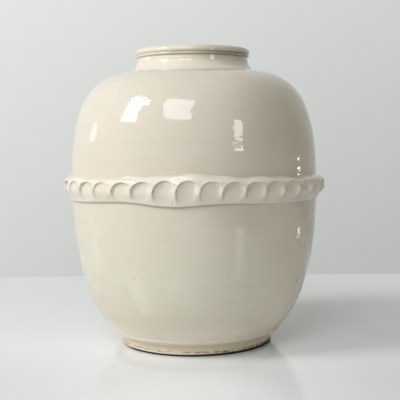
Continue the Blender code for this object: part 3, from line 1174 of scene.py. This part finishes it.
@dataclass
class FootRing(TurnedPiece):
    """The ring under the base, with a hollow outside, a rounded edge and a level standing face."""

    node: ClassVar[Node] = Node.FOOT_RING
    radius: float = 0.0826
    waist_radius: float = 0.0806
    top_radius: float = 0.0838
    side_heights: Point = (0.0060, 0.0104)
    edge_round: float = 0.0009
    face_inset: float = 0.0030
    out_of_true: tuple[Wave, ...] = ((0.00018, 3, 1.9708), (0.00010, 7, 3.4708))
    worn_low: Ramp = Ramp(0.0030, 0.0070, 1.0, 0.0)
    worn_places: tuple[Bell, ...] = (
        Bell(0.4, math.radians(285), math.radians(20)),
        Bell(0.9, math.radians(80), math.radians(20)),
        Bell(0.5, math.radians(190), math.radians(30)),
    )
    # Pooled glaze and painted shade at the top of the foot, under the bowl's edge.
    pool_and_shade_depth: float = 0.0025
    pooled_and_painted_shade: float = 0.4

    def section(self) -> Section:
        """The ring's outline, from the top of its inside down, across the standing face and up.

        Returns:
            The section.
        """
        form = self.form
        top = form.foot_height - form.slip
        inner = form.base_spigot_radius + form.slip
        bottom = self.radius
        edge = self.edge_round
        face = inner + self.face_inset
        low, high = self.side_heights
        side = curve([(bottom, edge), (bottom, low), (self.waist_radius, high), (self.top_radius, top)], 34)
        return Section(
            (
                Stretch(line((inner, top), (inner, form.foot_well), 4)[:-1], bare=1.0),
                Stretch(line((inner, form.foot_well), (face - edge, edge), 6)[:-1], bare=1.0),
                Stretch(arc((face, edge), (edge, edge), 180, 270, 7), bare=1.0),
                Stretch(line((face, 0.0), (bottom - edge, 0.0), 8)[1:-1], bare=1.0),
                Stretch(arc((bottom - edge, edge), (edge, edge), -90, 0, 9), uneven=1.0),
                Stretch(side[1:], uneven=1.0),
                Stretch(line((self.top_radius, top), (inner, top), 6)[1:-1], bare=1.0),
            )
        )

    def shift(self, section: Section, angle: Array) -> tuple[Array, Array]:
        """The outside a little out of true, by sines of the angle round the vase."""
        return section.values("uneven") * waves(self.out_of_true, angle), np.zeros((1, 1))

    def fields(self, section: Section, angle: Array) -> dict[str, Array]:
        """Pooled glaze and painted shade under the joint, an ease of the height, and wear low down, bells
        round a few places.

        Args:
            section: The outline.
            angle: Angles round the vase.

        Returns:
            Values for each place by the field's name.
        """
        height = section.points()[:, 1:]
        outside = section.values("uneven")
        top = self.form.foot_height - self.form.slip
        worn = sum(place.around(angle) for place in self.worn_places)
        return {
            "pool": outside * Ramp(top - self.pool_and_shade_depth, top, high=self.pooled_and_painted_shade).ease(height),
            "wear": outside * self.worn_low.ease(height) * np.clip(worn, 0.0, 1.0),
        }


@dataclass(frozen=True)
class StripGrid:
    """What is known of each place on the strip's face before it has a thickness.

    Rows go down the strip and columns along it. The fields are the number of the press, the place across it
    from its left (-1) to its right (1), the angle round the vase and its sine, the way round from the lap,
    the share of the way down the strip, half the strip's width and the height above its middle.
    """

    press: NDArray[np.int64]
    across: Array
    angle: Array
    right: Array
    from_lap: Array
    share: Array
    half: Array
    rise: Array


@dataclass
class ThumbedBand:
    """The strip of clay laid over the waist joint and pressed on with the thumb, once for each dish."""

    form: VaseForm
    node: ClassVar[Node] = Node.THUMBED_BAND
    press_count: int = 37
    columns_per_press: int = 24
    face_rows: int = 100
    face_crowding: float = 1.25
    back_rows: int = 6
    first_press: float = math.radians(-3.2)
    crowding: float = math.radians(1.7)
    crowding_centre: float = math.radians(5)
    height: float = 0.027
    thickness: float = 0.0090
    sink: float = 0.0003
    wander: float = 0.0030
    sway: float = 0.0012
    tilt: Ramp = Ramp(0.0, 0.6, math.radians(11), math.radians(-8))
    upper_lumps: tuple[Wave, ...] = ((0.0006, 11, 1.0), (0.00042, 24, 2.0))
    lower_lumps: tuple[Wave, ...] = ((0.0006, 7, 0.0),)
    narrowed: Bell = Bell(0.0017, math.radians(-27), math.radians(13))
    raised: Bell = Bell(0.0012, math.radians(7), math.radians(16))
    lap_swell: Bell = Bell(0.16, 0.0, math.radians(14))
    lap_end: Bell = Bell(1.0, 0.0, 0.16)
    lap_step: float = 0.0006
    lap_fade: float = 0.10
    lap_edge: Ramp = Ramp(0.0, 0.004)
    end_thickness: float = 0.0062
    end_edge: Ramp = Ramp(0.0, 0.0014)
    end_edge_power: float = 0.6
    end_slope: float = 0.42
    end_slope_from: float = 0.0006
    end_slope_length: float = 0.0052
    end_under: Ramp = Ramp(0.0050, 0.0070)
    blending: Ramp = Ramp(0.0, 0.7, high=0.75)
    crest_share: float = 0.25
    crest_power: float = 0.62
    upper_edge: Ramp = Ramp(0.0, 0.11)
    upper_edge_power: float = 0.35
    lower_edge: float = 0.0024
    lower_edge_share: float = 0.34
    lower_slope: Ramp = Ramp(1.0, 0.45)
    fold_height: float = 0.00012
    fold_spacing: float = 0.0026
    fold_waver: tuple[Wave, ...] = ((1.7, 3, 0.8), (1.2, 8, 2.1), (0.8, 19, 0.0))
    fold_level: float = 0.65
    fold_fade: tuple[Wave, ...] = ((0.35, 5, 0.3),)
    fold_from: Ramp = Ramp(0.0, 0.0015)
    fold_to: Ramp = Ramp(0.0060, 0.0090, 1.0, 0.0)
    upper_lip: float = 0.0047
    lower_lip: float = 0.0004
    drop: float = 0.0006
    jitter: float = 0.0007
    dish_width: float = 0.94
    dish_narrower: float = 0.03
    dish_shift: float = 0.05
    dish_power: float = 2.25
    short: Ramp = Ramp(0.5, 0.95, high=0.0065)
    dig_towards: float = math.radians(140)
    crisp_slope: float = 0.13
    soft_slope: float = 0.80
    deep_side: Ramp = Ramp(-0.15, 0.35)
    steeper: float = 0.36
    deeper: float = 0.0016
    floor: float = 0.0069
    floor_low: float = 0.0028
    hollow: float = 0.0007
    crispness: float = 2.2
    pushed_up: Bell = Bell(0.00040, 1.06, 0.08)
    pushed_edge: float = 0.003
    # Painted shade in the crease along each dish's crisp edge, and painted shadow under the strip's lower
    # edge.
    painted_crease_shade: Bell = Bell(1.7, 0.18, 0.16)
    painted_shadow_under: Ramp = Ramp(0.93, 0.99, high=1.7)
    dark_waver: float = 0.25
    dark_turns: tuple[Wave, Wave] = ((1.0, 7, 0.0), (1.0, 3, 1.0))
    # Painted light on the strip: lighter all over, partly its paler glaze, more on the crests at the left,
    # less on them at the right, and more over the right side.
    crest_narrow: float = 4.0
    crest_edge: Ramp = Ramp(0.0, 0.003)
    thin_and_painted_light: float = 0.45
    painted_light_crest: Ramp = Ramp(0.0, 0.5, 0.2, -0.3)
    painted_light_right: Ramp = Ramp(0.0, 0.5, high=0.2)
    seed: int = 11

    def strip_angle(self, presses_along: Array | float) -> Array | float:
        """Angle after a number of presses: even steps less a sine of twice the angle, which crowds them."""
        even = self.first_press + TURN * presses_along / self.press_count
        return even - self.crowding * np.sin(2 * (even - self.crowding_centre))

    def grid(self) -> StripGrid:
        """Lays out the strip, wider and raised at the lap, narrowed at the left, with lumps on its edges.

        The lumps are sums of sines and the rest are bells, and each edge's share goes with the square of
        the way from the other edge.

        Returns:
            The places of the strip's face.
        """
        along = np.arange(self.press_count * self.columns_per_press) / self.columns_per_press - 0.5
        press = np.floor(along + 0.5).astype(int)
        across = 2 * (along - press)[None, :]
        angle = self.strip_angle(along)[None, :]
        share = (np.linspace(0.0, 1.0, self.face_rows) ** self.face_crowding)[:, None]
        from_lap = way_from(angle, self.strip_angle(-0.5))
        half = self.height * (1 + self.lap_swell.at(from_lap)) / 2
        upper = (waves(self.upper_lumps, angle) + self.raised.at(from_lap)) * (1 - share) ** 2
        lower = (waves(self.lower_lumps, angle) + self.narrowed.around(angle)) * share**2
        rise = half * (1 - 2 * share) + upper + lower
        return StripGrid(press, across, angle, np.sin(angle), from_lap, share, half, rise)

    def build(self, finish: bpy.types.Material) -> bpy.types.Object:
        """Carries the strip's section round the waist and sinks a dish into it at every press.

        The strip stands on the wall by its thickness before pressing, and at the lap by that of its end.
        Inside a dish that goes over to the thickness of the dish's floor, as far as the dish is sunk. The
        strip leans as it rises, to the right in front and to the left on the right side.

        Args:
            finish: The glaze.

        Returns:
            The band.
        """
        form = self.form
        grid = self.grid()
        blend = self.blending.ease(grid.right)
        plain = self._plain(grid.share, blend)
        plain = plain + self.lap_end.at(grid.from_lap) * (self._end(grid.share) - plain)
        sunk, floor, pushed, painted_crease_shade = self._dishes(grid)
        thickness = plain - sunk * np.clip(plain - floor, 0.0, None)
        thickness = thickness + pushed + self._folds(grid) * (1 - sunk)
        overlap = np.where(grid.from_lap > 0, np.exp(-grid.from_lap / self.lap_fade), 0.0)
        thickness = thickness + self.lap_step * overlap * self.lap_edge.ease(plain)
        thickness[[0, -1]] = 0.0
        behind = grid.half * (1 - 2 * np.linspace(1.0, 0.0, self.back_rows + 2)[1:-1][:, None])
        rise = np.vstack([grid.rise, behind])
        out = np.vstack([thickness, 0 * behind]) - self.sink
        height = form.seam_height + self.wander * np.cos(grid.angle) - self.sway * grid.right + rise
        lean = grid.angle + rise * np.tan(self.tilt.ease(grid.right)) / form.belly_radius
        radius = form.wall_radius(height) + form.relief(lean, height) + out
        # Painted light on the crests, and painted shade in the creases and under the strip's lower edge.
        crest = np.clip(1 - self.crest_narrow * sunk, 0, 1) * self.crest_edge.ease(plain)
        pool = np.vstack([self._glaze(grid, crest, np.maximum(painted_crease_shade, self._under(grid, blend))), 0 * behind])
        fields = {"bare": np.zeros((1, 1)), "pool": pool[::-1]}
        points = turned(radius, lean, height)[::-1]
        return surface_object(self.node, points, fields, Closing.RING, finish)

    def _under(self, grid: StripGrid, blend: Array) -> Array:
        """Painted shadow under the strip's lower edge: an ease that wavers by two sines and fades where
        blended.

        Args:
            grid: The places of the strip's face.
            blend: How far the lower edge is blended, for each column.

        Returns:
            The painted shadow, which takes the darkest colour above 1.
        """
        one, other = (waves((turn,), grid.angle) for turn in self.dark_turns)
        waver = 1 - self.dark_waver + self.dark_waver * one * other
        return self.painted_shadow_under.ease(grid.share) * (1 - blend) * waver

    def _glaze(self, grid: StripGrid, crest: Array, dark: Array) -> Array:
        """Painted shade above 0 in the dark places, and thin glaze with painted light below 0 elsewhere."""
        thin_and_painted_light = self.thin_and_painted_light + self.painted_light_crest.ease(grid.right) * crest + self.painted_light_right.ease(grid.right)
        return dark - thin_and_painted_light * np.clip(1 - dark, 0, 1)

    def _plain(self, share: Array, blend: Array) -> Array:
        """Thickness before pressing, from the upper edge of the strip to its lower edge.

        A rounding, which goes with a power of the way to the crest, is multiplied by an ease down that ends
        in a small elliptical rounding, less so where the strip was blended into the wall.

        Args:
            share: Way down the strip, from 0 to 1.
            blend: How far the lower edge is blended, for each column.

        Returns:
            Distance that the strip stands out from the wall.
        """
        left = np.clip((1 - share) * self.height / self.lower_edge, 0, 1)
        edge = self.lower_edge_share * (1 - blend)
        lower = edge * np.sqrt(1 - (1 - left) ** 2) + (1 - edge) * self.lower_slope.ease(share)
        upper = (1 - (1 - np.clip(share / self.crest_share, 0, 1)) ** 2) ** self.crest_power
        return self.thickness * upper * self.upper_edge.ease(share) ** self.upper_edge_power * lower

    def _end(self, share: Array) -> Array:
        """Thickness of the strip's end, which lies on top at the lap with a steep edge and a sloping face.

        Args:
            share: Way down the strip, from 0 to 1.

        Returns:
            Distance that the end stands out from the wall.
        """
        way = share * self.height
        face = self.end_thickness * self.end_edge.ease(way) ** self.end_edge_power
        face = face + self.end_slope * np.clip(way - self.end_slope_from, 0, self.end_slope_length)
        return face + (self._plain(share, np.zeros(1)) - face) * self.end_under.ease(way)

    def _folds(self, grid: StripGrid) -> Array:
        """Soft folds along the upper lip: a sine of the way down it, which wavers and fades on its way round.

        Args:
            grid: The places of the strip's face.

        Returns:
            Height of the folds.
        """
        way = grid.share * self.height
        fade = self.fold_level + waves(self.fold_fade, grid.angle)
        climb = TURN * way / self.fold_spacing + waves(self.fold_waver, grid.angle)
        return self.fold_height * self.fold_from.ease(way) * self.fold_to.ease(way) * fade * np.sin(climb)

    def _dishes(self, grid: StripGrid) -> tuple[Array, ...]:
        """How far each place is sunk into a dish, with the lip that the press leaves round it and painted
        shade.

        A dish's distance is a superellipse about the press that reaches the strip's lower edge, or falls
        short of it on the right, where the sine of the angle round the vase is high. The sinking is one
        less the cube of the share of the slope that is still to go to the floor. The slope is short at the
        upper left, where the thumb digs in, and long at the lower right, where it slides out. The floor
        thins towards the strip's lower edge and is hollowed by the square of the distance. Round the right
        the dishes are deeper and their far sides steeper.

        Args:
            grid: The places of the strip's face.

        Returns:
            The sinking from 0 to 1, the floor's thickness, the height of the lip that is pushed up along
            the crisp edge, and the painted shade in the crease inside it.
        """
        half = grid.half
        rise = grid.rise
        hand = np.random.default_rng(self.seed).uniform(-1.0, 1.0, (4, self.press_count))
        drops, floors, shifts, turns = hand[:, grid.press % self.press_count]
        drop = (self.drop + self.jitter * drops)[None, :]
        above = half - self.upper_lip + drop
        below = half + self.lower_lip - drop - self.short.ease(grid.right)
        v = np.where(rise > -drop, (rise + drop) / above, (rise + drop) / below)
        u = grid.across - self.dish_shift * (shifts + turns * rise / half)
        u = u / (self.dish_width - self.dish_narrower * np.abs(shifts))
        distance = (np.abs(u) ** self.dish_power + np.abs(v) ** self.dish_power) ** (1 / self.dish_power)
        soft = 0.5 - 0.5 * np.cos(np.arctan2(v, u) - self.dig_towards)
        deep = self.deep_side.ease(grid.right)
        slope = self.crisp_slope + (self.soft_slope - self.steeper * deep - self.crisp_slope) * soft
        way = np.clip((1 - distance) / slope, 0.0, 1.0)
        sunk = 1 - (1 - way) ** 3
        flat = (self.floor + self.jitter * floors)[None, :] - self.deeper * deep
        floor = flat + (self.floor_low - flat) * smooth(-rise / half) + self.hollow * (distance**2 - 0.5)
        crisp = np.clip(1 - self.crispness * soft, 0.0, 1.0)
        pushed = self.pushed_up.at(distance) * crisp
        # Painted shade in the crease along the crisp edge.
        painted_crease_shade = self.painted_crease_shade.at(way) * crisp * (way > 0)
        return sunk, floor, pushed * smooth((half - np.abs(rise)) / self.pushed_edge), painted_crease_shade


@dataclass(frozen=True)
class SoftBox:
    """An oblong lamp that looks at the vase, named for what it gives."""

    name: str
    azimuth: float
    elevation: float
    width: float
    height: float
    radiance: float
    tint: Triple = (1.0, 1.0, 1.0)
    distance: float = 4.0


@dataclass(frozen=True)
class Glow:
    """Light from one side, which goes with a power of the cosine from its middle, over a least level."""

    size: float
    towards: Triple
    power: float
    tint: Triple
    least: float = 0.0


@dataclass(frozen=True)
class Surroundings:
    """Pale walls and ceiling, lighter to the left and above, and the daylight that comes off them.

    What is seen is a level plus a slope times the direction that is looked in, less a shade that goes with
    the square of the way to the right, plus a lighter corner behind at the right, which goes with a power
    of the way there. What gives light is a glow from the left and a warm bounce from the right.
    """

    level: float = 0.65
    slope: Triple = (-0.36, 0.0, 0.50)
    shade: float = 0.30
    corner: float = 2.0
    corner_power: float = 3.0
    least: float = 0.08
    tint: Triple = (0.975, 1.0, 0.978)
    left: Glow = Glow(2.16, (-0.906, -0.423, 0.0), 4.0, (1.0, 1.0, 0.98), 0.14)
    bounce: Glow = Glow(0.23, (0.94, 0.34, 0.0), 2.0, (1.06, 1.0, 0.76))

    def build(self) -> None:
        """Sets the scene's world: what the camera and reflections see, and the light that it gives."""
        world = bpy.data.worlds.new("pale_studio")
        world.use_nodes = True
        bpy.context.scene.world = world
        tree = world.node_tree
        tree.nodes.clear()
        direction = add(tree, "TexCoord", output="Generated")
        slope = add(tree, "VectorMath", {0: direction, 1: self.slope}, "Value", operation="DOT_PRODUCT")
        level = add(tree, "Math", {0: slope, 1: self.level}, operation="ADD")
        across = add(tree, "SeparateXYZ", {"Vector": direction}, "X")
        right = add(tree, "Math", {0: across, 1: 0.0}, operation="MAXIMUM")
        behind = add(tree, "Math", {0: across.node.outputs["Y"], 1: 0.0}, operation="MAXIMUM")
        shade = add(tree, "Math", {0: right, 1: right}, operation="MULTIPLY")
        corner = add(tree, "Math", {0: right, 1: behind}, operation="MULTIPLY")
        corner = add(tree, "Math", {0: corner, 1: self.corner_power}, operation="POWER")
        for way, size in ((shade, -self.shade), (corner, self.corner)):
            level = add(tree, "Math", {0: way, 1: size, 2: level}, operation="MULTIPLY_ADD")
        shown = add(tree, "Math", {0: level, 1: self.least}, operation="MAXIMUM")
        shown = add(tree, "VectorMath", {0: self.tint, "Scale": shown}, operation="SCALE")
        lights = []
        for glow in (self.left, self.bounce):
            along = {0: direction, 1: glow.towards}
            facing = add(tree, "VectorMath", along, "Value", operation="DOT_PRODUCT")
            facing = add(tree, "Math", {0: facing, 1: 0.0}, operation="MAXIMUM")
            facing = add(tree, "Math", {0: facing, 1: glow.power}, operation="POWER")
            given = add(tree, "Math", {0: facing, 1: glow.size, 2: glow.least}, operation="MULTIPLY_ADD")
            lights.append(add(tree, "VectorMath", {0: glow.tint, "Scale": given}, operation="SCALE"))
        given = add(tree, "VectorMath", {0: lights[0], 1: lights[1]}, operation="ADD")
        look = add(tree, "LightPath", output="Is Camera Ray")
        rays = look.node.outputs
        for kind in ("Is Glossy Ray", "Is Transmission Ray"):
            look = add(tree, "Math", {0: look, 1: rays[kind]}, operation="MAXIMUM")
        tint = add(tree, "Mix", {0: look, 4: given, 5: shown}, 1, data_type="VECTOR")
        add(tree, "OutputWorld", {"Surface": add(tree, "Background", {"Color": tint})})


@dataclass
class Studio:
    """The table, the pale surroundings, the lamps and the camera."""

    top: TableTop = TableTop()
    table_back: float = 0.434
    table_skew: float = -0.04
    table_front: float = -1.6
    table_half_width: float = 1.6
    table_lines: int = 9
    around: Surroundings = Surroundings()
    aim: Triple = (0.0, 0.0, 0.20)
    lamps: tuple[SoftBox, ...] = (
        SoftBox("key_window", -67.2, 36.8, 1.15, 1.77, 14.2, (0.99, 1.0, 1.06)),
        SoftBox("second_window", -15.7, 42.0, 1.70, 1.80, 4.7, (0.96, 1.0, 1.11)),
        SoftBox("right_panel", 42.3, 19.75, 0.50, 0.95, 6.3),
        SoftBox("right_panel_foot", 41.2, 9.6, 0.69, 0.22, 7.0),
        SoftBox("left_panel", -108.5, 11.2, 0.58, 0.66, 2.0),
        SoftBox("far_strip", 111.0, -1.5, 0.30, 0.026, 18.0),
        SoftBox("far_slit", 111.0, 1.1, 0.26, 0.03, 18.0),
        SoftBox("low_glint", 102.6, -16.9, 0.036, 0.0035, 14.0, distance=0.59),
    )
    pool_place: Triple = (-0.005, -0.245, 0.0)
    pool_from: Triple = (0.0, -0.42, 1.2)
    pool_spread: float = math.radians(11)
    pool_power: float = 7.0
    camera_place: Triple = (0.0, -0.9756, 0.2304)
    camera_yaw: float = 0.0063
    camera_pitch: float = 0.0771
    camera_roll: float = 0.0139
    focal_share: float = 884.65 / 400
    sensor_width: float = 36.0
    nearest: float = 0.05

    def build(self) -> None:
        """Sets the table, the surroundings, the lamps and the camera."""
        self._table()
        self.around.build()
        for lamp in self.lamps:
            self._lamp(lamp)
        self._pool()
        self._camera()
        bpy.context.scene.view_settings.view_transform = "Standard"

    def _table(self) -> None:
        """A flat sheet in the plane z = 0 whose back edge, a little askew, is the line behind the vase."""
        across = np.linspace(-self.table_half_width, self.table_half_width, self.table_lines)
        away = np.linspace(self.table_front, self.table_back, self.table_lines)
        x, y = np.meshgrid(across, away)
        y = y + self.table_skew * x * (y - self.table_front) / (self.table_back - self.table_front)
        vertices = np.column_stack([x.ravel(), y.ravel(), np.zeros(x.size)])
        places = np.arange(x.size).reshape(x.shape)
        corners = (places[:-1, :-1], places[:-1, 1:], places[1:, 1:], places[1:, :-1])
        quads = np.stack([corner.ravel() for corner in corners], axis=-1)
        mesh = bpy.data.meshes.new("table_top")
        mesh.from_pydata(vertices.tolist(), [], quads.tolist())
        mesh.materials.append(self.top.material())
        linked("table_top", mesh)

    def _lamp(self, lamp: SoftBox) -> None:
        """Hangs one lamp: its power is pi times its area times the radiance that it shows.

        Args:
            lamp: The lamp's place, size and radiance.
        """
        light = bpy.data.lights.new(lamp.name, "AREA")
        light.shape = "RECTANGLE"
        light.size = lamp.width
        light.size_y = lamp.height
        light.energy = math.pi * lamp.width * lamp.height * lamp.radiance
        light.color = lamp.tint
        made = linked(lamp.name, light)
        azimuth = math.radians(lamp.azimuth)
        outwards = (math.sin(azimuth), -math.cos(azimuth), math.tan(math.radians(lamp.elevation)))
        direction = Vector(outwards).normalized()
        made.location = Vector(self.aim) + lamp.distance * direction
        made.rotation_euler = (-direction).to_track_quat("-Z", "Y").to_euler()
        made.visible_camera = False

    def _pool(self) -> None:
        """Throws a soft pool on the table in front of the vase, as its glossy wall does with the windows."""
        light = bpy.data.lights.new("table_pool", "SPOT")
        light.energy = self.pool_power
        light.spot_size = self.pool_spread
        light.spot_blend = 1.0
        made = linked("table_pool", light)
        made.location = self.pool_from
        aim = Vector(self.pool_place) - Vector(self.pool_from)
        made.rotation_euler = aim.to_track_quat("-Z", "Y").to_euler()

    def _camera(self) -> None:
        """Sets the camera by its yaw to the right, its pitch downwards and its roll about the view."""
        camera = bpy.data.cameras.new("camera")
        camera.sensor_width = self.sensor_width
        camera.lens = self.focal_share * self.sensor_width
        camera.clip_start = self.nearest
        made = linked("camera", camera)
        yaw, pitch, roll = self.camera_yaw, self.camera_pitch, self.camera_roll
        level = Vector((math.cos(yaw), -math.sin(yaw), 0.0))
        ahead = Vector((math.cos(pitch) * math.sin(yaw), math.cos(pitch) * math.cos(yaw), -math.sin(pitch)))
        upright = Vector((math.sin(pitch) * math.sin(yaw), math.sin(pitch) * math.cos(yaw), math.cos(pitch)))
        right = math.cos(roll) * level - math.sin(roll) * upright
        up = math.sin(roll) * level + math.cos(roll) * upright
        turn = Matrix((right, up, -ahead)).transposed().to_4x4()
        made.matrix_world = Matrix.Translation(self.camera_place) @ turn
        bpy.context.scene.camera = made


def place(piece: bpy.types.Object, node: Node, slot: Slot) -> None:
    """Puts a piece on the root body in place of its CAD node, and reports it.

    Args:
        piece: The finished piece.
        node: The CAD node that it stands for.
        slot: The material slot that it takes its finish from.
    """
    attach(piece, "root")
    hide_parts(node.value)
    triangles = sum(len(polygon.vertices) - 2 for polygon in piece.data.polygons)
    log.info("%s: %d triangles, %s", piece.name, triangles, slot.value)


def main() -> None:
    """Builds the vase piece by piece, then the studio round it."""
    logging.basicConfig(level=logging.INFO, format="%(message)s")
    form = VaseForm()
    glaze = TinGlaze().material()
    worn = FootGlaze().material()
    for kind in (LowerBody, UpperBody, NeckCollar, ThumbedBand):
        place(kind(form).build(glaze), kind.node, Slot.CREAM_GLAZE)
    place(FootRing(form).build(worn), FootRing.node, Slot.WORN_GLAZE)
    Studio().build()


if __name__ == "__main__":
    main()
